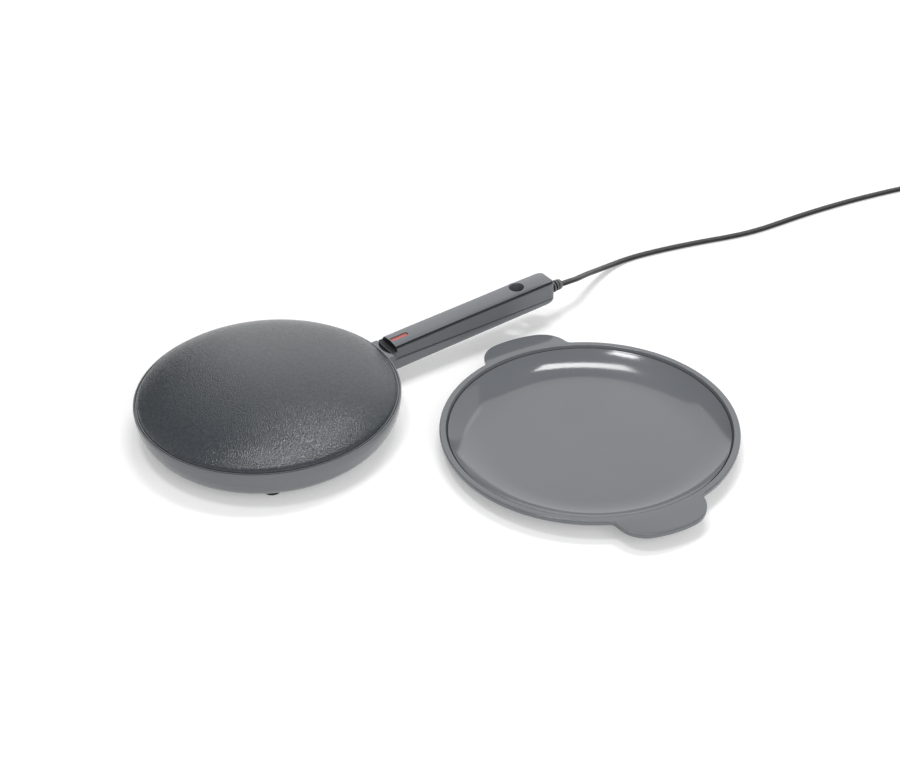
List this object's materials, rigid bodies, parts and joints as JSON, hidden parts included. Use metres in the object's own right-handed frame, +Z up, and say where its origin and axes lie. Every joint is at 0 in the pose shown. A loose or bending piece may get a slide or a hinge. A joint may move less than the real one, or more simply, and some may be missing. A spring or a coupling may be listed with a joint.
{
  "type": "electric crepe maker",
  "caption": "Hand-held electric crepe maker with a domed plate and straight handle, and a loose round batter dish with two ears.",
  "frame": {"origin": "middle of the set's footprint, at the level of the table it stands on", "axes": "+X along the handle towards the cord, +Z up, +Y across the handle on the side away from the dish"},
  "size_m": [0.8598, 0.3902, 0.049],
  "materials": {
    "plate_coating": "pebbled non-stick coating",
    "bare_steel": "plain",
    "shield_sheet": "plain sheet",
    "seal_rubber": "matt",
    "housing_grey": "satin gloss",
    "dish_grey": "satin gloss",
    "lens_red": "clear red, polished",
    "lamp_glass": "clear",
    "ceramic": "unglazed",
    "foot_rubber": "matt",
    "cord_grey": "satin",
    "wire_dark": "matt",
    "wire_light": "matt",
    "wire_red": "matt",
    "pin_brass": "nickel plated"
  },
  "bodies": {
    "maker": {"cooking_plate": "plate_coating", "bezel_ring": "housing_grey", "plate_seal": "seal_rubber", "heating_element": "bare_steel", "element_clamps": "bare_steel", "clamp_screws": "bare_steel", "heat_shield": "shield_sheet", "thermostat": "ceramic", "thermostat_screw": "bare_steel", "thermal_fuse": "ceramic", "base_housing": "housing_grey", "handle_cover": "housing_grey", "indicator_lens": "lens_red", "neon_lamp": "lamp_glass", "base_screws": "bare_steel", "handle_screws": "bare_steel", "rubber_feet": "foot_rubber", "strain_relief": "cord_grey", "live_wire": "wire_dark", "neutral_wire": "wire_light", "link_wires": "wire_red", "power_cord": "cord_grey", "cord_coil": "cord_grey", "cord_tie": "foot_rubber", "plug_body": "cord_grey", "plug_pins": "pin_brass"},
    "dish": {"batter_dish": "dish_grey"}
  },
  "joints": [
    {"name": "dish_lift", "type": "slide", "parent": "maker", "child": "dish", "axis": [0, 0, 1], "range_m": [0, 0.12]}
  ]
}
